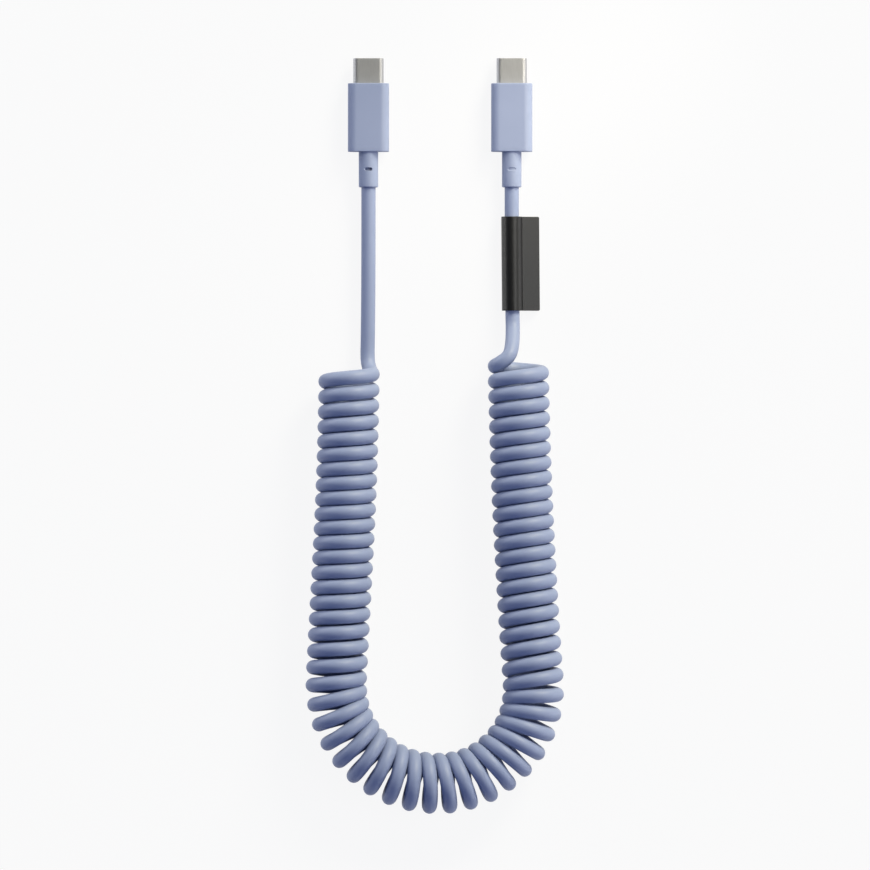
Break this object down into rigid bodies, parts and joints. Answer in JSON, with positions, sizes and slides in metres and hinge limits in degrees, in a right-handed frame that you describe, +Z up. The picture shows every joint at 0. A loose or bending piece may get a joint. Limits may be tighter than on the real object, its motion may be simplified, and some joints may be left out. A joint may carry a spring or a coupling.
{
  "type": "coiled usb-c cable",
  "caption": "Coiled charging and data cable with a flat oval metal plug and a round boot at each end, and a folded tag on one lead.",
  "frame": {"origin": "on the floor below the middle of the two plugs", "axes": "+X across the plugs from plug A to plug B, +Y along the plugs towards their tips, +Z up from the floor"},
  "size_m": [0.07, 0.2053, 0.0167],
  "materials": {
    "jacket": "smooth satin jacket",
    "moulding": "fine satin moulding",
    "plug_steel": "satin nickel-plated",
    "spring_steel": "stamped",
    "shield_steel": "tin-plated",
    "insulator": "matte",
    "contact_gold": "gold-plated",
    "board": "solder mask",
    "chip": "moulded",
    "wire_insulation": "smooth",
    "braid": "tinned braid",
    "tag": "soft satin strip"
  },
  "bodies": {
    "root": {"plug_a_shell": "plug_steel", "plug_a_housing": "insulator", "plug_a_contacts_upper": "contact_gold", "plug_a_contacts_lower": "contact_gold", "plug_a_latch_spring": "spring_steel", "plug_a_ground_spring_upper": "spring_steel", "plug_a_ground_spring_lower": "spring_steel", "plug_a_paddle_card": "board", "plug_a_wires": "wire_insulation", "plug_a_shield_can_upper": "shield_steel", "plug_a_shield_can_lower": "shield_steel", "plug_a_braided_core": "braid", "plug_a_body": "moulding", "plug_a_boot": "moulding", "plug_a_cord_end": "jacket", "plug_b_shell": "plug_steel", "plug_b_housing": "insulator", "plug_b_contacts_upper": "contact_gold", "plug_b_contacts_lower": "contact_gold", "plug_b_latch_spring": "spring_steel", "plug_b_ground_spring_upper": "spring_steel", "plug_b_ground_spring_lower": "spring_steel", "plug_b_paddle_card": "board", "plug_b_wires": "wire_insulation", "plug_b_shield_can_upper": "shield_steel", "plug_b_shield_can_lower": "shield_steel", "plug_b_braided_core": "braid", "plug_b_body": "moulding", "plug_b_boot": "moulding", "plug_b_cord_end": "jacket", "plug_a_marker_chip": "chip", "cord_lead_a": "jacket", "cord_coil": "jacket", "cord_lead_b": "jacket", "tag": "tag"}
  },
  "joints": []
}
